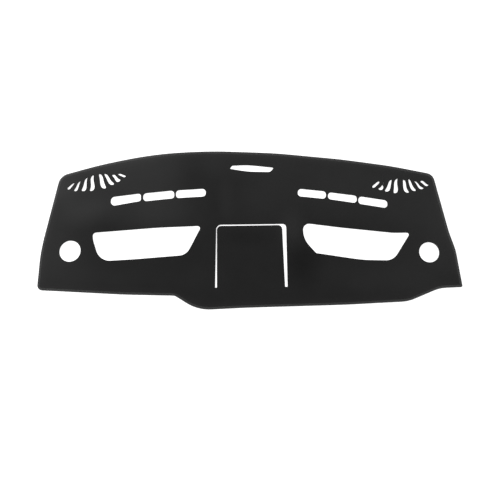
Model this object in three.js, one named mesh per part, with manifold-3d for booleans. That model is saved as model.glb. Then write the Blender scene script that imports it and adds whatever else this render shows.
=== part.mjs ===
// Dashboard cover mat, lying flat with its pile up.
// One die-cut sheet of black flannel with a thread edging sewn round its outer border.
// Millimetres. +X runs along the dashboard, +Y towards the windscreen, +Z up. The mat lies on Z = 0.
import * as THREE from 'three';
import Module from 'manifold-3d';
import { mergeVertices } from 'three/addons/utils/BufferGeometryUtils.js';

const wasm = await Module();
wasm.setup();

// Sheet and edging
const SHEET_THICKNESS = 4.0;
const EDGING_WIDTH = 8.0;
const EDGING_PROUD = 0.3;
const THREAD_THICKNESS = 0.8;
const SEWN_CLEARANCE = 0.3;

// How closely a chord follows its arc, and how far a cutter runs past the sheet
const ARC_TOLERANCE = 0.12;
const CUT_RUN_OUT = 5.0;

// Main sizes: between the two front corners, and from the front apron to the crown at the back
const LENGTH = 1402.2;
const DEPTH = 524;
const LEFT = -LENGTH / 2;
const RIGHT = LENGTH / 2;
const FRONT = -DEPTH / 2;
const BACK = DEPTH / 2;

// Long bends of the border
const CROWN_RADIUS = 1500;
const SIDE_RADIUS = 600;
const APRON_RADIUS = 165;

// Outlines are corners in order, counter-clockwise: x, y, corner radius
const BORDER = [
  [LEFT, FRONT + 65.8, 16],
  [-415, FRONT + 51.1, SIDE_RADIUS],
  [-247.5, FRONT + 47.4, 20],
  [-171.5, FRONT, APRON_RADIUS],
  [-18, FRONT + 7.6, CROWN_RADIUS],
  [321, FRONT + 18, CROWN_RADIUS],
  [RIGHT - 179, FRONT + 28.8, 130],
  [RIGHT - 76, FRONT + 72.4, 110],
  [RIGHT, FRONT + 76, 5],
  [RIGHT - 23.2, FRONT + 197.8, 150],
  [RIGHT - 45.5, FRONT + 257.3, 200],
  [RIGHT - 99, BACK - 76.4, 32],
  [466, BACK - 49.4, CROWN_RADIUS],
  [295, BACK - 26.8, CROWN_RADIUS],
  [84, BACK - 7, CROWN_RADIUS],
  [-120, BACK, CROWN_RADIUS],
  [-261, BACK - 6.2, CROWN_RADIUS],
  [-366, BACK - 19.8, CROWN_RADIUS],
  [-495, BACK - 46.4, CROWN_RADIUS],
  [LEFT + 77.4, BACK - 82, 44],
  [LEFT + 20.7, FRONT + 226.3, SIDE_RADIUS],
  [LEFT + 10.8, FRONT + 176.8, SIDE_RADIUS],
];

// Large openings over the dashboard's own panels, measured from the front and the middle
const LEFT_WINDOW = [
  [-495, 160.6, 50],
  [-380, 167.4, 600],
  [-209, 181.5, 42],
  [-158, 278, 8],
  [-301, 272, 600],
  [-518, 254.9, 14],
  [-516, 229.8, 60],
];
const RIGHT_WINDOW = [
  [218, 188, 8],
  [372, 165.2, 500],
  [472.8, 163.6, 44],
  [528.8, 255.4, 7],
  [470, 255, 150],
  [300, 272.2, 800],
  [173.7, 287.8, 20],
  [176.4, 233.8, 88],
];

// Slots over the windscreen outlets, three on each side, measured from the back and the middle
const DEMISTER_SLOTS = [
  [[-457.8, -182.4, 14], [-358, -164.8, 8], [-357.8, -139.4, 8], [-457.6, -151.9, 15]],
  [[-351.4, -166.6, 11], [-248.5, -155.7, 9], [-247.8, -129.4, 11], [-351.3, -139.7, 13]],
  [[-243.6, -155.6, 10], [-144.6, -149.8, 12], [-144, -123.6, 12], [-243.5, -129.6, 12]],
  [[157.2, -148.9, 11], [251.2, -158.4, 11], [250.8, -132.9, 12], [157.2, -123.6, 12]],
  [[256.6, -158.4, 11], [352.5, -172.3, 11], [352.2, -147.2, 12], [256.6, -135.2, 12]],
  [[356.6, -173.6, 11], [453.4, -188.8, 11], [452.4, -162.8, 13], [356.4, -148.4, 12]],
];

// Slot over the sun sensor, measured from the back and the middle
const SENSOR_SLOT = [
  [-66.5, -59, 2],
  [-4, -68.8, 300],
  [67, -69.4, 12],
  [80, -55, 3],
  [-8, -46, 500],
  [-58.5, -48.5, 4],
];

// The slit frees a tongue that stays joined to the sheet along its front side.
// Heights are measured from the front, widths of the slit from the tongue.
const TONGUE_LEFT = -107.8;
const TONGUE_RIGHT_TOP = 105.4;
const TONGUE_RIGHT_FOOT = 115.6;
const TONGUE_TOP_LEFT = 276.8;
const TONGUE_TOP_RIGHT = 279.8;
const TONGUE_CORNER = 13;
const SLIT_FOOT_LEFT = 73.8;
const SLIT_FOOT_RIGHT = 76.8;
const SLIT_LEFT_TOP = 3.0;
const SLIT_LEFT_FOOT = 7.0;
const SLIT_TOP = 4.6;
const SLIT_RIGHT_TOP = 14.2;
const SLIT_RIGHT_FOOT = 9.2;
const SLIT_LEFT_CORNER = 17;
const SLIT_RIGHT_CORNER = 12;
const SLIT_END_RADIUS = 2;

// Round openings over the side vents, cut a little oval: how far in from the side and from the
// front their centres lie, long and short diameter, and their turn in degrees
const LEFT_VENT = [109.6, 194.2, 73, 67];
const LEFT_VENT_TURN = 43;
const RIGHT_VENT = [111.2, 190.6, 69, 64];
const RIGHT_VENT_TURN = 132;

// Two fans of curved slots over the side window outlets: how far in from the side and from the
// back each fan has its origin
const LEFT_FAN = [196, 132.2];
const RIGHT_FAN = [205, 132.2];

// Each louvre runs from its foot to its tip: foot x and y, tip x and y, then its width near the
// foot and near the tip, and how far its middle line swings to the left of that way near the
// foot and near the tip. Near is a quarter in from the end. A higher fullness gives blunter ends.
const LOUVRE_STATION = 0.25;
const LOUVRE_FULLNESS = 4;
const LOUVRE_STEPS = 12;
const LEFT_LOUVRES = [
  [-94, 6, -72, 26, 7.8, 5.2, -0.4, 0.3],
  [-72, 0, -52, 32, 9.0, 5.8, -2.2, 0.7],
  [-46, 0, -29, 44, 12.8, 7.2, -3.2, 1.3],
  [-19, 0, -9, 52, 13.6, 10.2, -4.6, 2.2],
  [30, 9, 10, 56, 15.0, 11.8, 3.8, -0.9],
  [58, 22, 27, 56, 11.8, 9.6, 4.1, -0.3],
  [79, 35, 52, 52, 12.4, 9.4, 4.0, -1.4],
  [97, 48, 72, 55, 7.2, 6.4, 0.5, -0.9],
];
// The second of these was never punched through: its upper part, the last row, is a fine cut
const RIGHT_LOUVRES = [
  [-93, 12, -70, 31, 8.8, 7.8, -0.4, 0],
  [-72, 6, -59, 19, 9.8, 9.0, -3.2, -3.0],
  [-50, -1, -30, 37, 13.0, 9.2, -3.8, 0.1],
  [-20, -7, -11, 41, 14.4, 9.8, -2.0, 2.8],
  [26, -5, 9, 37, 11.6, 10.2, 5.4, 1.1],
  [49, 1, 26, 39, 10.6, 8.2, 4.3, 1.5],
  [75, 9, 45, 32, 8.4, 5.4, 4.5, 0],
  [91, 19, 65, 32, 7.4, 7.8, 2.2, -1.2],
  [-59.5, 17, -50.5, 41, 1.2, 1.0, 0.6, 0.3],
];

const FLANNEL = new THREE.MeshStandardMaterial({ color: 0x2b2b2b, roughness: 0.97, metalness: 0 });
const THREAD = new THREE.MeshStandardMaterial({ color: 0x3a3a3a, roughness: 0.85, metalness: 0 });

// Direction from one corner to the next
function heading(from, to) {
  return new THREE.Vector2(to[0] - from[0], to[1] - from[1]).normalize();
}

// Points of the arc that rounds one corner, from tangent to tangent
function roundCorner(previous, corner, next) {
  const [x, y, wanted] = corner;
  const arriving = heading(previous, corner);
  const leaving = heading(corner, next);
  const turn = Math.asin(THREE.MathUtils.clamp(arriving.cross(leaving), -1, 1));
  const sweep = arriving.dot(leaving) < 0 ? Math.sign(turn) * Math.PI - turn : turn;
  const reach = Math.tan(Math.abs(sweep) / 2);
  const room = Math.min(
    Math.hypot(x - previous[0], y - previous[1]),
    Math.hypot(next[0] - x, next[1] - y),
  ) / 2;
  const radius = Math.min(wanted, room / reach);
  if (radius <= ARC_TOLERANCE) {
    return [new THREE.Vector2(x, y)];
  }
  const inward = new THREE.Vector2(-arriving.y, arriving.x).multiplyScalar(Math.sign(sweep) * radius);
  const start = new THREE.Vector2(x, y).addScaledVector(arriving, -radius * reach);
  const centre = start.clone().add(inward);
  const step = 2 * Math.acos(1 - ARC_TOLERANCE / radius);
  const count = Math.max(1, Math.ceil(Math.abs(sweep) / step));
  const points = [];
  for (let i = 0; i <= count; i += 1) {
    points.push(start.clone().rotateAround(centre, sweep * i / count));
  }
  return points;
}

// Closed outline through a list of corners
function outline(corners) {
  const count = corners.length;
  return corners.flatMap((corner, i) => roundCorner(
    corners[(i + count - 1) % count],
    corner,
    corners[(i + 1) % count],
  ));
}

// The same corners moved in from every side by one distance, so both outlines run parallel
function inset(corners, distance) {
  const count = corners.length;
  return corners.map((corner, i) => {
    const arriving = heading(corners[(i + count - 1) % count], corner);
    const leaving = heading(corner, corners[(i + 1) % count]);
    const along = new THREE.Vector2(-arriving.y - leaving.y, arriving.x + leaving.x);
    along.multiplyScalar(distance / (1 + arriving.dot(leaving)));
    const outward = Math.sign(arriving.cross(leaving));
    const radius = Math.max(0, corner[2] - outward * distance);
    return [corner[0] + along.x, corner[1] + along.y, radius];
  });
}

// Outline of one curved slot: a bent middle line with a half width that swells and closes at both ends
function louvre([footX, footY, tipX, tipY, footWidth, tipWidth, footBend, tipBend]) {
  const way = new THREE.Vector2(tipX - footX, tipY - footY);
  const across = new THREE.Vector2(-way.y, way.x).normalize();
  const near = LOUVRE_STATION;
  const apart = 1 - 2 * near;
  const skew = (tipBend - footBend) / (near * (1 - near) * apart);
  const bow = footBend / (near * (1 - near)) - skew * near;
  const middle = (s) => s * (1 - s) * (bow + skew * s);
  const halfWidth = (s) => {
    const width = footWidth + (tipWidth - footWidth) * (s - near) / apart;
    return width / 2 * Math.sqrt(Math.max(0, 1 - Math.abs(2 * s - 1) ** LOUVRE_FULLNESS));
  };
  const at = (s, side) => new THREE.Vector2(footX, footY)
    .addScaledVector(way, s)
    .addScaledVector(across, middle(s) + side * halfWidth(s));
  const station = (i) => (1 - Math.cos(Math.PI * i / LOUVRE_STEPS)) / 2;
  const right = [];
  const left = [];
  for (let i = 0; i <= LOUVRE_STEPS; i += 1) {
    right.push(at(station(i), -1));
    if (i > 0 && i < LOUVRE_STEPS) {
      left.unshift(at(station(i), 1));
    }
  }
  return [...right, ...left];
}

// Outline of an oval round the origin
function oval(long, short, turn) {
  const step = 2 * Math.acos(1 - 2 * ARC_TOLERANCE / long);
  const count = Math.ceil(2 * Math.PI / step);
  const curve = new THREE.EllipseCurve(
    0, 0, long / 2, short / 2, 0, 2 * Math.PI, false, THREE.MathUtils.degToRad(turn),
  );
  return curve.getPoints(count).slice(0, count);
}

// The slit runs up the tongue's left side, over its top and down its right side
function slitCorners() {
  return [
    [TONGUE_LEFT - SLIT_LEFT_FOOT, SLIT_FOOT_LEFT, SLIT_END_RADIUS],
    [TONGUE_LEFT, SLIT_FOOT_LEFT, SLIT_END_RADIUS],
    [TONGUE_LEFT, TONGUE_TOP_LEFT, TONGUE_CORNER],
    [TONGUE_RIGHT_TOP, TONGUE_TOP_RIGHT, TONGUE_CORNER],
    [TONGUE_RIGHT_FOOT, SLIT_FOOT_RIGHT, SLIT_END_RADIUS],
    [TONGUE_RIGHT_FOOT + SLIT_RIGHT_FOOT, SLIT_FOOT_RIGHT, SLIT_END_RADIUS],
    [TONGUE_RIGHT_TOP + SLIT_RIGHT_TOP, TONGUE_TOP_RIGHT + SLIT_TOP, SLIT_RIGHT_CORNER],
    [TONGUE_LEFT - SLIT_LEFT_TOP, TONGUE_TOP_LEFT + SLIT_TOP, SLIT_LEFT_CORNER],
  ];
}

// Straight prism on an outline between two heights
function prism(points, low, high) {
  const geometry = new THREE.ExtrudeGeometry(new THREE.Shape(points), {
    depth: high - low,
    bevelEnabled: false,
  });
  geometry.translate(0, 0, low);
  geometry.deleteAttribute('normal');
  geometry.deleteAttribute('uv');
  const merged = mergeVertices(geometry);
  return new wasm.Manifold(new wasm.Mesh({
    numProp: 3,
    vertProperties: new Float32Array(merged.attributes.position.array),
    triVerts: new Uint32Array(merged.index.array),
  }));
}

// Named mesh of a finished solid
function mesh(name, solid, material) {
  const { vertProperties, triVerts } = solid.getMesh();
  const geometry = new THREE.BufferGeometry();
  geometry.setAttribute('position', new THREE.BufferAttribute(vertProperties, 3));
  geometry.setIndex(new THREE.BufferAttribute(triVerts, 1));
  geometry.computeVertexNormals();
  const piece = new THREE.Mesh(geometry, material);
  piece.name = name;
  return piece;
}

// Outlines moved from their own origin to a place on the mat
function placed(outlines, x, y) {
  const move = new THREE.Vector2(x, y);
  return outlines.map((points) => points.map((point) => point.clone().add(move)));
}

// Everything that is cut through the sheet
function cutOutlines() {
  const [leftVentIn, leftVentUp, leftVentLong, leftVentShort] = LEFT_VENT;
  const [rightVentIn, rightVentUp, rightVentLong, rightVentShort] = RIGHT_VENT;
  const fromFront = [outline(LEFT_WINDOW), outline(RIGHT_WINDOW), outline(slitCorners())];
  const fromBack = [...DEMISTER_SLOTS.map(outline), outline(SENSOR_SLOT)];
  const leftVent = [oval(leftVentLong, leftVentShort, LEFT_VENT_TURN)];
  const rightVent = [oval(rightVentLong, rightVentShort, RIGHT_VENT_TURN)];
  return [
    ...placed(fromFront, 0, FRONT),
    ...placed(fromBack, 0, BACK),
    ...placed(leftVent, LEFT + leftVentIn, FRONT + leftVentUp),
    ...placed(rightVent, RIGHT - rightVentIn, FRONT + rightVentUp),
    ...placed(LEFT_LOUVRES.map(louvre), LEFT + LEFT_FAN[0], BACK - LEFT_FAN[1]),
    ...placed(RIGHT_LOUVRES.map(louvre), RIGHT - RIGHT_FAN[0], BACK - RIGHT_FAN[1]),
  ];
}

// The sheet is full thickness up to the edging and is squeezed thin where the thread wraps it
function sheet() {
  const squeeze = THREAD_THICKNESS + SEWN_CLEARANCE;
  const edgingTop = SHEET_THICKNESS + EDGING_PROUD;
  const field = prism(outline(inset(BORDER, EDGING_WIDTH + SEWN_CLEARANCE)), 0, SHEET_THICKNESS);
  const rim = prism(outline(inset(BORDER, squeeze)), squeeze, edgingTop - squeeze);
  let solid = field.add(rim);
  for (const points of cutOutlines()) {
    solid = solid.subtract(prism(points, -CUT_RUN_OUT, SHEET_THICKNESS + CUT_RUN_OUT));
  }
  return mesh('mat_sheet', solid, FLANNEL);
}

// The edging wraps the squeezed rim: over it, round its outer side and under it
function edging() {
  const top = SHEET_THICKNESS + EDGING_PROUD;
  const whole = prism(outline(BORDER), 0, top);
  const middle = prism(outline(inset(BORDER, EDGING_WIDTH)), -CUT_RUN_OUT, top + CUT_RUN_OUT);
  const throat = prism(outline(inset(BORDER, THREAD_THICKNESS)), THREAD_THICKNESS, top - THREAD_THICKNESS);
  return mesh('serged_edging', whole.subtract(middle).subtract(throat), THREAD);
}

// Origin under the middle of the mat, on the surface that it lies on
function centred(pieces) {
  const group = new THREE.Group();
  group.add(...pieces);
  const middle = new THREE.Box3().setFromObject(group).getCenter(new THREE.Vector3());
  group.position.set(-middle.x, -middle.y, 0);
  return group;
}

export default centred([sheet(), edging()]);
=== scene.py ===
import math

import bpy
import numpy as np
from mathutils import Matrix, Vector, kdtree, noise
from mathutils.geometry import delaunay_2d_cdt


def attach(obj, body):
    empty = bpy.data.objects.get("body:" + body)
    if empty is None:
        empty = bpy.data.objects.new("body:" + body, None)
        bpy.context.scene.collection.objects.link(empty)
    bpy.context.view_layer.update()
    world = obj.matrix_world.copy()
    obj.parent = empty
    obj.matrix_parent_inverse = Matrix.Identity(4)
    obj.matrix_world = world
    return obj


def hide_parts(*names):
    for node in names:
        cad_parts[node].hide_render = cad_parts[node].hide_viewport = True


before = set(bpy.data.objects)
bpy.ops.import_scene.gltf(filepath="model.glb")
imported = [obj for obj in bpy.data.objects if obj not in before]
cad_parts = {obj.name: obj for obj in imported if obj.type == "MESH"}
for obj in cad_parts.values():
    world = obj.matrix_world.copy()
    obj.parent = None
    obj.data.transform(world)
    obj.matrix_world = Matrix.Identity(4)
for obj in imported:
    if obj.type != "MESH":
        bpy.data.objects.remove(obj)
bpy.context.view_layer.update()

MM = 0.001

# Keeps a division by a length from being one by zero
TINY = 1e-12

# The CAD's flat upper faces, from which outlines are read: heights of the sheet, of its squeezed
# rim and of the edging, the edging's width, how steeply a face must look up, and how near two
# heights or places count as the same
SHEET_TOP = 4.0 * MM
RIM_TOP = 3.2 * MM
EDGING_TOP = 4.3 * MM
EDGING_WIDTH = 8.0 * MM
LOOKS_UP = 0.5
SAME_HEIGHT = 1e-5
SAME_PLACE = 1e-6

# How outlines are refined: longest chord in bends and on straight runs, sharpest turn that is
# still a bend, and the most that a chord may swell. Louvre slots are the cuts under LOUVRE_SPAN
PLAIN_FINE = (2.4 * MM, 5.0 * MM, math.radians(35), 0.16 * MM)
LOUVRE_FINE = (1.2 * MM, 2.4 * MM, math.radians(75), 0.7 * MM)
INNER_FINE = (1.0 * MM, 1.0 * MM, math.radians(35), 0.16 * MM)
LOUVRE_SPAN = 60 * MM
STRAIGHT = math.radians(0.5)

# Mesh of the sheet: an even grid, and rows of points along the rim and the cuts at these
# distances. A row's point that comes nearer than ROW_CLEAR of its distance is left out, and
# points within MERGE of each other become one
GRID = 5.0 * MM
GRID_CLEAR = GRID / 3
RIM_ROWS = (0.6 * MM, 3.0 * MM, 7.2 * MM, 9.0 * MM, 12.0 * MM)
CUT_ROWS = (0.35 * MM, 0.9 * MM, 1.8 * MM)
ROW_CLEAR = 0.93
MERGE = 1e-7

# A distance to an outline is measured to the edges of its nearest few marks, set this far apart
NEAR_STEP = 1.0 * MM
NEAR_COUNT = 3

# Raw cuts: how far in their edges are rounded, how deep on each side, and how far the pile leans
# over them. Its two sides meet over the one slot that is only a fine cut: its middle, reach, and
# how much more the pile leans there
CUT_ROUND = 1.8 * MM
CUT_DROP_TOP = 1.1 * MM
CUT_DROP_UNDER = 0.5 * MM
PILE_OVERHANG = 0.45 * MM
FINE_CUT = (0.4425, 0.1620)
FINE_CUT_REACH = 0.0125
FINE_CUT_MORE = 0.09 * MM

# How deep the top and the underside are drawn in, by the distance from the sewn rim's outer side
RIM_AT = np.array([0, 0.6, 3.0, 7.2, 9.0, 12.0, 17.0, 22.0]) * MM
RIM_DROP_TOP = np.array([1.3, 0.95, 0.9, 0.85, 0.45, 0.12, 0.02, 0]) * MM
RIM_RISE_UNDER = np.array([1.55, 1.15, 1.1, 1.0, 0.75, 0.35, 0.08, 0]) * MM

# How much lighter the flannel is painted beside the rim, a painted light that lifts the shade of
# the thread and the drawn-in slope there, by the same distance
PAINTED_RIM_LIGHT_AT = np.array([0, 7.2, 10.0, 16.0, 28.0]) * MM
PAINTED_RIM_LIGHT_SHARE = (1.0, 1.0, 0.7, 0.3, 0.0)

# Small unevenness of the top: height, span, and how far in from the rim it grows to full height
UNEVEN_HEIGHT = 0.10 * MM
UNEVEN_SPAN = 18 * MM
UNEVEN_FADE = 20 * MM

# Low swells of the laid cloth: middle x and y, half widths, height
LIFTS = (
    (-0.56, 0.05, 0.10, 0.12, 1.6 * MM),
    (-0.30, 0.16, 0.16, 0.05, 1.2 * MM),
    (0.13, -0.01, 0.030, 0.05, 1.5 * MM),
    (0.34, 0.17, 0.20, 0.05, 1.1 * MM),
    (0.58, -0.02, 0.07, 0.10, 1.4 * MM),
    (-0.05, -0.08, 0.09, 0.07, 1.0 * MM),
)

# Overlock thread: closed turns round the rim, and a line of needle stitches along its inner side.
# Each turn sways along the border by a share of a stitch and varies in width
STITCH = 2.7 * MM
YARN_WIDTH = 2.35 * MM
YARN_THICK = 0.8 * MM
NEEDLE_WIDTH = 1.0 * MM
NEEDLE_THICK = 0.7 * MM
NEEDLE_IN = 7.75 * MM
TUBE_SIDES = 6
SWAY = 0.05
WIDTH_SPREAD = 0.03
SEED = 7

# One turn of the overlock thread: way along the border in stitches, way in from it and height in
# millimetres, then the direction that it faces as inward and up, and its width as a share
TURN = (
    (0.00, 7.7, 2.60, 0.0, 1.0, 0.45),
    (0.04, 7.0, 3.62, -0.2, 1.0, 0.80),
    (0.14, 4.8, 3.72, 0.0, 1.0, 1.00),
    (0.26, 2.4, 3.66, 0.1, 1.0, 1.00),
    (0.33, 0.95, 3.22, -0.7, 0.7, 0.95),
    (0.38, 0.42, 2.15, -1.0, 0.0, 0.95),
    (0.43, 0.95, 1.10, -0.7, -0.7, 0.95),
    (0.50, 2.6, 0.55, 0.0, -1.0, 1.00),
    (0.62, 5.0, 0.45, 0.0, -1.0, 1.00),
    (0.74, 7.2, 0.60, 0.0, -1.0, 0.80),
    (0.86, 7.9, 1.60, 1.0, 0.0, 0.45),
)

# One needle stitch along the inner side of the edging: way along in stitches, height in millimetres
NEEDLE = ((0.0, 3.05), (0.22, 3.62), (0.5, 3.80), (0.78, 3.62))

# Where the flannel is painted lighter or darker: partly nap that lies differently, as brushed pile
# does, and partly painted light and shade, lighter towards the upper left where the light falls and
# shaded with the cloth's low swells: middle and reach in frame coordinates, turn in degrees, and
# how much lighter
NAP_AND_PAINTED_LIGHT = (
    ((-0.62, 0.17), (0.26, 0.20), 20, 0.17),
    ((-0.62, 0.14), (0.10, 0.08), 0, 0.22),
    ((-0.40, 0.235), (0.25, 0.05), 10, 0.16),
    ((-0.08, 0.10), (0.04, 0.10), 0, 0.12),
    ((0.00, -0.02), (0.12, 0.05), 0, -0.09),
    ((-0.38, 0.19), (0.40, 0.20), 8, 0.41),
    ((-0.53, 0.065), (0.14, 0.07), 10, 0.28),
    ((-0.68, -0.05), (0.24, 0.30), 0, 0.36),
    ((-0.30, 0.05), (0.22, 0.12), 0, 0.26),
    ((-0.02, 0.24), (0.30, 0.09), 0, 0.15),
    ((0.03, 0.11), (0.17, 0.16), -10, 0.14),
    ((-0.19, 0.19), (0.08, 0.12), 0, -0.13),
    ((0.32, 0.16), (0.42, 0.20), -8, 0.24),
    ((0.64, 0.05), (0.30, 0.30), 0, 0.22),
    ((0.142, 0.005), (0.07, 0.10), 10, 0.23),
    ((0.175, -0.10), (0.09, 0.14), 0, -0.17),
    ((-0.16, -0.155), (0.14, 0.06), 0, 0.05),
    ((0.45, -0.14), (0.30, 0.12), -5, 0.08),
    ((-0.45, -0.13), (0.30, 0.10), 0, 0.05),
    ((0.60, -0.12), (0.20, 0.14), 0, 0.07),
    ((0.45, -0.175), (0.32, 0.08), -5, 0.08),
    ((-0.48, -0.165), (0.26, 0.07), 0, 0.07),
    ((0.67, 0.00), (0.12, 0.20), 0, 0.08),
)
NAP_AND_PAINTED_LIGHT_BASE = 0.308
# How much lighter the painted light beside the rim makes the flannel at most
PAINTED_RIM_LIGHT_AMOUNT = 0.15

# Materials: darkest and lightest grey, texture scales per metre, how much each texture shades the
# colour and raises the bump, and the bump's height
FLANNEL_GREYS = (0.003, 0.036)
FIBRE_SCALE, FIBRE_SHADE = 2400.0, 0.45
TUFT_SCALE, TUFT_SHADE, TUFT_RAISE = 800.0, 0.10, 0.6
CLOUD_SCALE, CLOUD_SHADE = 14.0, 0.10
PILE_STRETCH = (1.0, 0.5, 1.0)
PILE_BUMP = 0.0009

BACKING_GREYS = (0.018, 0.040)
WEAVE_SCALE, WEAVE_SHADE, WEAVE_RAISE = 900.0, 0.5, 0.25
GRIP_SCALE, GRIP_SHADE = 170.0, 0.4
GRIP_OUTSIDE, GRIP_INSIDE = 0.30, 0.22
GRIP_BUMP = 0.0004

THREAD_GREYS = (0.007, 0.077)
PLY_SHADE = 0.16
PLY_ROUND = 2
FLUFF_SCALE, FLUFF_SHADE, FLUFF_RAISE = 2200.0, 0.16, 0.4
# Share of the flannel's patches that the thread takes: on the thread these are painted light and
# shade
THREAD_PAINTED_LIGHT_SHARE = 0.8
THREAD_BUMP = 0.00012

# Camera straight above, looking down with +Y up in the picture
VIEW_WIDTH = 1.6446
VIEW_MIDDLE = (0.0003, -0.0643)
CAMERA_HEIGHT = 4.0
CAMERA_CLIP = (0.1, 60)
SENSOR = 36.0

# White floor, pale world, and soft square lamps: name, place, what they face, side, watts
FLOOR_HALF = 12.0
FLOOR_LEVEL = -0.05 * MM
FLOOR_PAINT = 0.72
FLOOR_GLOW = 0.68
WORLD_LIGHT = 0.45
LAMPS = (
    ("key_left", (-1.7, 1.2, 2.4), (-0.1, 0, 0), 1.6, 62),
    ("fill_right", (2.0, 0.6, 2.2), (0.2, 0, 0), 1.6, 22),
)


def unit(v):
    length = np.linalg.norm(v, axis=-1, keepdims=True)
    return v / np.maximum(length, TINY)


def outlines_at(node, height):
    """Closed outlines of a CAD node's flat upper faces at one height, with material on their left.
    The ones with most points come first."""
    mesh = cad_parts[node].data
    keys = [(round(v.co.x / SAME_PLACE), round(v.co.y / SAME_PLACE)) for v in mesh.vertices]
    place = {k: (v.co.x, v.co.y) for k, v in zip(keys, mesh.vertices)}
    edges = {}
    for face in mesh.polygons:
        if face.normal.z < LOOKS_UP or abs(face.center.z - height) > SAME_HEIGHT:
            continue
        ring = [keys[i] for i in face.vertices]
        for a, b in zip(ring, ring[1:] + ring[:1]):
            edges[a, b] = True
    follows = {a: b for a, b in edges if (b, a) not in edges}
    loops = []
    while follows:
        loop, at = [], next(iter(follows))
        while at in follows:
            loop.append(place[at])
            at = follows.pop(at)
        loops.append(np.array(loop))
    return sorted(loops, key=lambda p: (-len(p), p[0][0]))


def finer(points, fine, coarse, sharp, sag):
    """The same outline with more points: bends are rounded through them, straight runs divided.
    A chord that would swell by more than sag is taken as straight."""
    while True:
        after = np.roll(points, -1, 0)
        way = unit(after - points)
        length = np.linalg.norm(after - points, axis=1)
        back = np.roll(way, 1, 0)
        turn = np.arccos(np.clip((way * back).sum(1), -1, 1))
        next_turn = np.roll(turn, -1)
        came = np.where((turn < sharp)[:, None], back, way)
        goes = np.where((next_turn < sharp)[:, None], np.roll(way, -1, 0), way)
        bent = np.maximum(turn, next_turn) > STRAIGHT
        split = length > np.where(bent, fine, coarse)
        if not split.any():
            return points
        # An arc's middle stands off its chord by an eighth of the length times its tangents'
        # difference, which is half the difference between the chords before and after
        swell = (came - goes) * length[:, None] / 16
        swell[np.linalg.norm(swell, axis=1) > sag] = 0
        middle = (points + after) / 2 + swell
        rows = []
        for i, point in enumerate(points):
            rows.append(point)
            if split[i]:
                rows.append(middle[i])
        points = np.array(rows)


def leftward(points):
    """Unit vectors into the material at each point of an outline."""
    way = unit(np.roll(points, -1, 0) - points)
    along = unit(way + np.roll(way, 1, 0))
    return np.stack([-along[:, 1], along[:, 0]], 1)


class Near:
    """Distance from a point to the nearest of several closed outlines, and the way from it."""

    def __init__(self, loops):
        self.points = []
        for loop in loops:
            for a, b in zip(loop, np.roll(loop, -1, 0)):
                count = max(1, math.ceil(np.linalg.norm(b - a) / NEAR_STEP))
                self.points += [(a, b, a + (b - a) * k / count) for k in range(count)]
        self.tree = kdtree.KDTree(len(self.points))
        for i, (_, _, p) in enumerate(self.points):
            self.tree.insert((p[0], p[1], 0), i)
        self.tree.balance()

    def __call__(self, x, y):
        return self.look(x, y)[0]

    def look(self, x, y):
        best = (math.inf, 0.0, 0.0)
        for _, i, _ in self.tree.find_n((x, y, 0), NEAR_COUNT):
            a, b, _ = self.points[i]
            bx, by = b[0] - a[0], b[1] - a[1]
            t = ((x - a[0]) * bx + (y - a[1]) * by) / max(bx * bx + by * by, TINY ** 2)
            t = min(1.0, max(0.0, t))
            dx, dy = x - a[0] - t * bx, y - a[1] - t * by
            best = min(best, (math.hypot(dx, dy), dx, dy))
        return best


def inside(loops, points):
    """Which points lie on the material, by counting the outlines crossed to their left."""
    a = np.concatenate(loops)
    b = np.concatenate([np.roll(loop, -1, 0) for loop in loops])
    found = np.zeros(len(points), bool)
    for y in np.unique(points[:, 1]):
        row = points[:, 1] == y
        crosses = (a[:, 1] > y) != (b[:, 1] > y)
        p, q = a[crosses], b[crosses]
        at = np.sort(p[:, 0] + (y - p[:, 1]) / (q[:, 1] - p[:, 1]) * (q[:, 0] - p[:, 0]))
        found[row] = np.searchsorted(at, points[row, 0]) % 2 == 1
    return found


def lift(x, y):
    """How far the cloth stands off the floor where it doesn't lie quite flat."""
    total = 0.0
    for cx, cy, rx, ry, height in LIFTS:
        d = ((x - cx) / rx) ** 2 + ((y - cy) / ry) ** 2
        total += height * math.exp(-d)
    return total


def rounded(d):
    """Share of the drop at a raw cut edge, at a distance from it: a quarter round."""
    t = max(0.0, 1 - d / CUT_ROUND)
    return 1 - math.sqrt(1 - t * t)


def overhang(x, y):
    """How far the pile leans over a raw cut edge: a little more at the fine cut."""
    away = math.hypot(x - FINE_CUT[0], y - FINE_CUT[1])
    return PILE_OVERHANG + FINE_CUT_MORE * max(0.0, 1 - away / FINE_CUT_REACH) ** 0.5


def material(name):
    made = bpy.data.materials.new(name)
    made.use_nodes = True
    tree = made.node_tree
    tree.nodes.clear()
    return made, tree


def add(tree, kind, inputs=None, **settings):
    node = tree.nodes.new(kind)
    for key, value in settings.items():
        setattr(node, key, value)
    for key, value in (inputs or {}).items():
        if isinstance(value, bpy.types.NodeSocket):
            tree.links.new(value, node.inputs[key])
        else:
            node.inputs[key].default_value = value
    return node


def math_node(tree, operation, a, b):
    return add(tree, "ShaderNodeMath", {0: a, 1: b}, operation=operation).outputs[0]


def plus(tree, a, b):
    return math_node(tree, "ADD", a, b)


def times(tree, a, b):
    return math_node(tree, "MULTIPLY", a, b)


def grey(value):
    return (value, value, value, 1)


def mixed(tree, share, dark, light):
    """A grey between two, by a share that is held from 0 to 1."""
    return add(tree, "ShaderNodeMix", {
        0: share, 6: grey(dark), 7: grey(light),
    }, data_type="RGBA", clamp_factor=True).outputs[2]


def bumped(tree, height, distance, strength):
    return add(tree, "ShaderNodeBump", {
        "Height": height, "Distance": distance, "Strength": strength,
    }).outputs[0]


def shaded(tree, inputs):
    shader = add(tree, "ShaderNodeBsdfPrincipled", inputs)
    add(tree, "ShaderNodeOutputMaterial", {"Surface": shader.outputs[0]})


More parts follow.
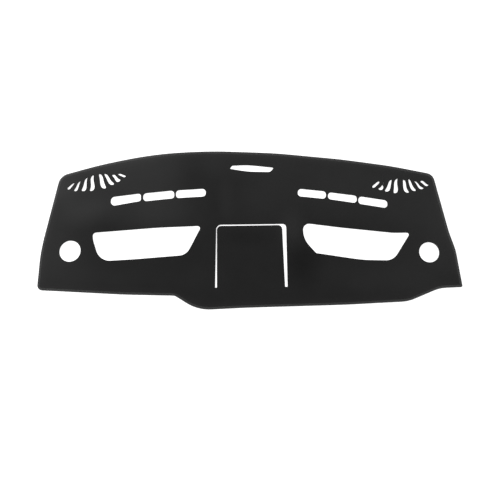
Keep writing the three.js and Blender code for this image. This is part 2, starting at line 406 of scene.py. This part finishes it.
def noise_at(tree, place, scale, detail=2.0, rough=0.5):
    return add(tree, "ShaderNodeTexNoise", {
        "Vector": place, "Scale": scale, "Detail": detail, "Roughness": rough,
    }).outputs["Fac"]


def weighted(tree, *terms):
    """The sum of each term times its weight, with every term centred on a half."""
    total = -sum(weight / 2 for _, weight in terms)
    for value, weight in terms:
        total = plus(tree, times(tree, value, weight), total)
    return total


def patch(tree, place, centre, reach, turn):
    """A soft oval patch, 1 in its middle and 0 past its reach."""
    at = add(tree, "ShaderNodeMapping", {
        "Vector": place,
        "Location": (*centre, 0),
        "Rotation": (0, 0, math.radians(turn)),
        "Scale": (*reach, 1),
    }, vector_type="TEXTURE").outputs[0]
    ball = add(tree, "ShaderNodeTexGradient", {"Vector": at}, gradient_type="SPHERICAL")
    return add(tree, "ShaderNodeMapRange", {
        "Value": ball.outputs["Fac"],
    }, interpolation_type="SMOOTHSTEP").outputs[0]


def nap_and_painted_light_at(tree, place):
    """How light the flannel is painted there, from the dark grey to the light one: its nap together
    with painted light and shade.
    """
    nap_and_painted_light = NAP_AND_PAINTED_LIGHT_BASE
    for centre, reach, turn, amount in NAP_AND_PAINTED_LIGHT:
        nap_and_painted_light = plus(tree, times(tree, patch(tree, place, centre, reach, turn), amount), nap_and_painted_light)
    return nap_and_painted_light


def flannel_material():
    made, tree = material("flannel_pile")
    place = add(tree, "ShaderNodeTexCoord").outputs["Object"]
    brushed = add(tree, "ShaderNodeMapping", {"Vector": place, "Scale": PILE_STRETCH}).outputs[0]
    fibre = noise_at(tree, brushed, FIBRE_SCALE, detail=4.0, rough=0.75)
    tuft = noise_at(tree, brushed, TUFT_SCALE)
    cloud = noise_at(tree, place, CLOUD_SCALE, detail=3.0)
    uneven = weighted(tree, (fibre, FIBRE_SHADE), (tuft, TUFT_SHADE), (cloud, CLOUD_SHADE))
    # Painted light beside the rim that lifts the shade there
    painted_rim_light = add(tree, "ShaderNodeAttribute", attribute_name="painted_rim_light").outputs["Fac"]
    # The nap's tone together with painted light and shade
    nap_and_painted_light = plus(tree, nap_and_painted_light_at(tree, place), uneven)
    nap_and_painted_light = plus(tree, nap_and_painted_light, times(tree, painted_rim_light, PAINTED_RIM_LIGHT_AMOUNT))
    height = plus(tree, fibre, times(tree, tuft, TUFT_RAISE))
    shaded(tree, {
        "Base Color": mixed(tree, nap_and_painted_light, *FLANNEL_GREYS),
        "Roughness": 0.95,
        "Specular IOR Level": 0.1,
        "Sheen Weight": 0.06,
        "Sheen Roughness": 0.5,
        "Sheen Tint": grey(0.8),
        "Normal": bumped(tree, height, PILE_BUMP, 1.0),
    })
    return made


def backing_material():
    """Underside: a plain weave with round grip dots."""
    made, tree = material("flannel_grip_side")
    place = add(tree, "ShaderNodeTexCoord").outputs["Object"]
    weave = noise_at(tree, place, WEAVE_SCALE)
    away = add(tree, "ShaderNodeTexVoronoi", {
        "Vector": place, "Scale": GRIP_SCALE, "Randomness": 0.0,
    }, voronoi_dimensions="2D").outputs["Distance"]
    dot = add(tree, "ShaderNodeMapRange", {
        "Value": away, "From Min": GRIP_OUTSIDE, "From Max": GRIP_INSIDE,
    }, interpolation_type="SMOOTHSTEP").outputs[0]
    shade = plus(tree, times(tree, weave, WEAVE_SHADE), times(tree, dot, GRIP_SHADE))
    height = plus(tree, times(tree, weave, WEAVE_RAISE), dot)
    rough = add(tree, "ShaderNodeMapRange", {"Value": dot, "To Min": 0.9, "To Max": 0.5})
    shaded(tree, {
        "Base Color": mixed(tree, shade, *BACKING_GREYS),
        "Roughness": rough.outputs[0],
        "Normal": bumped(tree, height, GRIP_BUMP, 0.6),
    })
    return made


def thread_material():
    made, tree = material("overlock_thread")
    coords = add(tree, "ShaderNodeTexCoord").outputs
    ply = add(tree, "ShaderNodeTexWave", {
        "Vector": coords["UV"],
        "Scale": 1.0,
        "Distortion": 0.6,
        "Detail": 1.0,
        "Detail Scale": 2.0,
    }, wave_type="BANDS", bands_direction="DIAGONAL").outputs["Fac"]
    fluff = noise_at(tree, coords["Object"], FLUFF_SCALE)
    uneven = weighted(tree, (ply, PLY_SHADE), (fluff, FLUFF_SHADE))
    # Painted light and shade: the thread is lighter and darker in the flannel's patches
    shade = plus(tree, times(tree, nap_and_painted_light_at(tree, coords["Object"]), THREAD_PAINTED_LIGHT_SHARE), uneven)
    height = plus(tree, ply, times(tree, fluff, FLUFF_RAISE))
    shaded(tree, {
        "Base Color": mixed(tree, shade, *THREAD_GREYS),
        "Roughness": 0.72,
        "Specular IOR Level": 0.35,
        "Sheen Weight": 0.10,
        "Sheen Roughness": 0.5,
        "Normal": bumped(tree, height, THREAD_BUMP, 0.6),
    })
    return made


def make_object(name, verts, faces, materials, which=None):
    mesh = bpy.data.meshes.new(name)
    mesh.from_pydata([tuple(v) for v in verts], [], faces)
    for m in materials:
        mesh.materials.append(m)
    mesh.polygons.foreach_set("use_smooth", [True] * len(faces))
    if which is not None:
        mesh.polygons.foreach_set("material_index", which)
    mesh.update()
    made = bpy.data.objects.new(name, mesh)
    bpy.context.scene.collection.objects.link(made)
    return made


def mesh_points(loops, near_rim, near_cut):
    """Points of the sheet between its outlines: the grid, then the rows along rim and cuts."""
    rim, *cuts = loops
    low, high = rim.min(0), rim.max(0)
    row_height = GRID * math.sqrt(3) / 2
    grid = []
    for j in range(math.ceil((high[1] - low[1]) / row_height)):
        y = low[1] + (j + 0.5) * row_height
        for i in range(math.ceil((high[0] - low[0]) / GRID)):
            grid.append((low[0] + (i + 0.25 + 0.5 * (j % 2)) * GRID, y))
    grid = np.array(grid)
    points = [
        p for p in grid[inside(loops, grid)]
        if near_rim(*p) > RIM_ROWS[-1] + GRID_CLEAR and near_cut(*p) > CUT_ROWS[-1] + GRID_CLEAR
    ]
    rows = [(rim, near_rim, d) for d in RIM_ROWS]
    rows += [(cut, near_cut, d) for cut in cuts for d in CUT_ROWS]
    for loop, near, d in rows:
        row = loop + leftward(loop) * d
        for p in row[inside(loops, row)]:
            if near(*p) > ROW_CLEAR * d and (near is near_cut or near_cut(*p) > CUT_ROWS[-1]):
                points.append(p)
    return points


def triangulated(loops, points):
    """Flat triangles of the material through all points: the places that they use, the triangles,
    and for each place the number of its outline point, or None."""
    coords = [Vector(p) for loop in loops for p in loop] + [Vector(p) for p in points]
    edges, start = [], 0
    for loop in loops:
        count = len(loop)
        edges += [(start + k, start + (k + 1) % count) for k in range(count)]
        start += count
    flat, _, triangles, origin, _, _ = delaunay_2d_cdt(coords, edges, [], 0, MERGE)
    number = [min(o) if o and min(o) < start else None for o in origin]
    # Only a triangle between outline points can lie in an opening or past the rim
    doubtful = [t for t in triangles if all(number[i] is not None for i in t)]
    middles = np.array([sum((flat[i] for i in t), Vector((0, 0))) / 3 for t in doubtful])
    open_air = {tuple(t) for t, held in zip(doubtful, inside(loops, middles)) if not held}
    triangles = [t for t in triangles if tuple(t) not in open_air]
    used = sorted({i for t in triangles for i in t})
    index = {old: new for new, old in enumerate(used)}
    triangles = [tuple(index[i] for i in t) for t in triangles]
    return [flat[i] for i in used], triangles, [number[i] for i in used]


def sheet_piece(rim, cuts):
    """The flannel sheet: a fine mesh of both sides, drawn in at the sewn rim and rounded at the
    cuts, and its flat area."""
    loops = [rim, *cuts]
    near_rim, near_cut = Near([rim]), Near(cuts)
    flat, triangles, number = triangulated(loops, mesh_points(loops, near_rim, near_cut))
    normals = np.concatenate([leftward(loop) for loop in loops])
    top, under, painted_rim_light = [], [], []
    for (x, y), outline_point in zip(flat, number):
        d_rim = near_rim(x, y)
        d_cut, from_x, from_y = near_cut.look(x, y)
        if outline_point is not None:
            from_x, from_y = normals[outline_point]
        raised = lift(x, y)
        uneven = UNEVEN_HEIGHT * noise.noise(Vector((x, y, 0)) / UNEVEN_SPAN)
        uneven *= min(1.0, d_rim / UNEVEN_FADE)
        drop = np.interp(d_rim, RIM_AT, RIM_DROP_TOP) + CUT_DROP_TOP * rounded(d_cut)
        rise = np.interp(d_rim, RIM_AT, RIM_RISE_UNDER) + CUT_DROP_UNDER * rounded(d_cut)
        lean = overhang(x, y) * (rounded(d_cut) / max(math.hypot(from_x, from_y), TINY))
        top.append((x - from_x * lean, y - from_y * lean, SHEET_TOP - drop + raised + uneven))
        under.append((x, y, rise + raised))
        # Painted light beside the rim, lifting the shade there
        painted_rim_light.append(np.interp(d_rim, PAINTED_RIM_LIGHT_AT, PAINTED_RIM_LIGHT_SHARE))
    count = len(flat)
    directed = {(a, b) for t in triangles for a, b in zip(t, t[1:] + t[:1])}
    walls = [(a, b) for a, b in sorted(directed) if (b, a) not in directed]
    faces = list(triangles)
    faces += [(c + count, b + count, a + count) for a, b, c in triangles]
    faces += [(b, a, a + count, b + count) for a, b in walls]
    materials = [flannel_material(), backing_material()]
    which = [0] * len(triangles) + [1] * len(triangles) + [0] * len(walls)
    made = make_object("mat_flannel", top + under, faces, materials, which)
    attribute = made.data.attributes.new("painted_rim_light", "FLOAT", "POINT")
    attribute.data.foreach_set("value", painted_rim_light + painted_rim_light)
    area = sum(abs((flat[b] - flat[a]).cross(flat[c] - flat[a])) / 2 for a, b, c in triangles)
    return made, area


def closed_lengths(points):
    """Length along a closed outline up to each point, and its whole length."""
    steps = np.linalg.norm(np.roll(points, -1, 0) - points, axis=1)
    return np.concatenate([[0], np.cumsum(steps)])


class Border:
    """Places on the border, by the length along it and by how far in from it, and its stitches."""

    def __init__(self, outer, inner):
        tree = kdtree.KDTree(len(inner))
        for i, p in enumerate(inner):
            tree.insert((p[0], p[1], 0), i)
        tree.balance()
        facing = np.array([inner[tree.find((p[0], p[1], 0))[1]] for p in outer])
        self.lengths = closed_lengths(outer)
        self.outer = np.vstack([outer, outer[:1]])
        self.inner = np.vstack([facing, facing[:1]])
        self.stitches = round(self.lengths[-1] / STITCH)
        self.pitch = self.lengths[-1] / self.stitches

    def along(self, shares):
        """Lengths along the border at the same shares of every stitch."""
        return (np.arange(self.stitches)[:, None] + shares[None, :]).ravel() * self.pitch

    def at(self, s, inward, height):
        """Places in space, raised with the laid cloth, and the ways out from the border."""
        s = s % self.lengths[-1]
        o = np.stack([np.interp(s, self.lengths, self.outer[:, k]) for k in (0, 1)], -1)
        i = np.stack([np.interp(s, self.lengths, self.inner[:, k]) for k in (0, 1)], -1)
        place = o + (i - o) * (inward / EDGING_WIDTH)[..., None]
        raised = np.array([lift(x, y) for x, y in place])
        return np.column_stack([place, height + raised]), unit(o - i)


def tube(name, centres, normals, half_width, half_thick, mat):
    """One closed tube through a ring of centres, flattened along the given normals. Its UVs run
    along it in millimetres and PLY_ROUND times round it."""
    count, sides = len(centres), TUBE_SIDES
    along = unit(np.roll(centres, -1, 0) - np.roll(centres, 1, 0))
    across = unit(np.cross(along, normals))
    up = unit(np.cross(across, along))
    verts = []
    for k in range(sides):
        a = 2 * math.pi * k / sides
        wide = across * (half_width * math.cos(a))[:, None]
        verts.append(centres + wide + up * half_thick * math.sin(a))
    verts = np.stack(verts, 1).reshape(-1, 3)
    faces = []
    for i in range(count):
        j = (i + 1) % count
        for k in range(sides):
            m = (k + 1) % sides
            faces.append((i * sides + k, j * sides + k, j * sides + m, i * sides + m))
    made = make_object(name, verts.tolist(), faces, [mat])
    run = closed_lengths(centres) / MM
    round_it = np.arange(sides + 1) / sides * PLY_ROUND
    quad = np.empty((count, sides, 4, 2))
    quad[:, :, 0, 0] = quad[:, :, 3, 0] = run[:-1, None]
    quad[:, :, 1, 0] = quad[:, :, 2, 0] = run[1:, None]
    quad[:, :, 0, 1] = quad[:, :, 1, 1] = round_it[:-1]
    quad[:, :, 2, 1] = quad[:, :, 3, 1] = round_it[1:]
    made.data.uv_layers.new(name="thread").data.foreach_set("uv", quad.ravel())
    return made


def turns_piece(border, mat):
    """The overlock thread: one turn round the rim at every stitch."""
    stitches, per_turn = border.stitches, len(TURN)
    shares = np.array(TURN)[:, 0]
    inward, height, face_in, face_up, width = np.tile(np.array(TURN)[:, 1:], (stitches, 1)).T
    rng = np.random.default_rng(SEED)
    sway = np.repeat(rng.normal(0, SWAY, stitches), per_turn) * border.pitch
    centres, outward = border.at(border.along(shares) + sway, inward * MM, height * MM)
    normals = np.column_stack([-outward * face_in[:, None], face_up])
    width = width * np.repeat(rng.normal(1, WIDTH_SPREAD, stitches), per_turn)
    return tube("overlock_turns", centres, normals, YARN_WIDTH / 2 * width, YARN_THICK / 2, mat)


def needle_piece(border, mat):
    """The needle thread's line of stitches."""
    shares, heights = np.array(NEEDLE).T
    s = border.along(shares)
    height = np.tile(heights, border.stitches) * MM
    centres, _ = border.at(s, np.full(len(s), NEEDLE_IN), height)
    normals = np.tile([0.0, 0.0, 1.0], (len(s), 1))
    half_width = np.full(len(s), NEEDLE_WIDTH / 2)
    return tube("needle_line", centres, normals, half_width, NEEDLE_THICK / 2, mat)


def camera():
    data = bpy.data.cameras.new("camera")
    data.sensor_width = SENSOR
    data.lens = SENSOR * (CAMERA_HEIGHT - SHEET_TOP) / VIEW_WIDTH
    data.clip_start, data.clip_end = CAMERA_CLIP
    made = bpy.data.objects.new("camera", data)
    made.location = (*VIEW_MIDDLE, CAMERA_HEIGHT)
    bpy.context.scene.collection.objects.link(made)
    bpy.context.scene.camera = made


def lamp(name, place, target, size, power):
    data = bpy.data.lights.new(name, "AREA")
    data.shape = "SQUARE"
    data.size = size
    data.energy = power
    made = bpy.data.objects.new(name, data)
    made.location = place
    way = Vector(target) - Vector(place)
    made.rotation_euler = way.to_track_quat("-Z", "Y").to_euler()
    bpy.context.scene.collection.objects.link(made)


def seen_directly(tree):
    """1 for rays from the camera and for those that gloss or glass sends on, and 0 for light."""
    path = add(tree, "ShaderNodeLightPath").outputs
    seen = math_node(tree, "MAXIMUM", path["Is Camera Ray"], path["Is Glossy Ray"])
    return math_node(tree, "MAXIMUM", seen, path["Is Transmission Ray"])


def surroundings():
    """White floor that keeps the object's shadow, pale world, two soft lamps."""
    made, tree = material("floor_white")
    paint = add(tree, "ShaderNodeBsdfDiffuse", {"Color": grey(FLOOR_PAINT)})
    glow = add(tree, "ShaderNodeEmission", {
        "Color": grey(1.0), "Strength": times(tree, seen_directly(tree), FLOOR_GLOW),
    })
    both = add(tree, "ShaderNodeAddShader", {0: paint.outputs[0], 1: glow.outputs[0]})
    add(tree, "ShaderNodeOutputMaterial", {"Surface": both.outputs[0]})
    signs = ((-1, -1), (1, -1), (1, 1), (-1, 1))
    corners = [(x * FLOOR_HALF, y * FLOOR_HALF, FLOOR_LEVEL) for x, y in signs]
    floor = make_object("floor", corners, [(0, 1, 2, 3)], [made])

    world = bpy.data.worlds.new("studio")
    bpy.context.scene.world = world
    world.use_nodes = True
    tree = world.node_tree
    tree.nodes.clear()
    strength = add(tree, "ShaderNodeMapRange", {
        "Value": seen_directly(tree), "To Min": WORLD_LIGHT, "To Max": 1.0,
    }).outputs[0]
    sky = add(tree, "ShaderNodeBackground", {"Color": grey(1.0), "Strength": strength})
    add(tree, "ShaderNodeOutputWorld", {"Surface": sky.outputs[0]})

    for settings in LAMPS:
        lamp(*settings)
    return floor


bpy.context.scene.view_settings.view_transform = "Standard"
camera()
floor = surroundings()

edging_outlines = outlines_at("serged_edging", EDGING_TOP)
border_outer = finer(edging_outlines[0], *PLAIN_FINE)
border_inner = finer(edging_outlines[1], *INNER_FINE)
rim_outline = finer(outlines_at("mat_sheet", RIM_TOP)[0], *PLAIN_FINE)

# The widest outline of the sheet's top is where its rim begins. The others are the cuts
top_outlines = outlines_at("mat_sheet", SHEET_TOP)
widths = [np.ptp(outline[:, 0]) for outline in top_outlines]
top_outlines.pop(widths.index(max(widths)))
cut_outlines = [
    finer(outline, *(LOUVRE_FINE if np.ptp(outline, 0).max() < LOUVRE_SPAN else PLAIN_FINE))
    for outline in top_outlines
]

flannel, flat_area = sheet_piece(rim_outline, cut_outlines)
thread = thread_material()
border = Border(border_outer, border_inner)
turns = turns_piece(border, thread)
needle = needle_piece(border, thread)

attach(flannel, "root")
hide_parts("mat_sheet")
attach(turns, "root")
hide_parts("serged_edging")
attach(needle, "root")
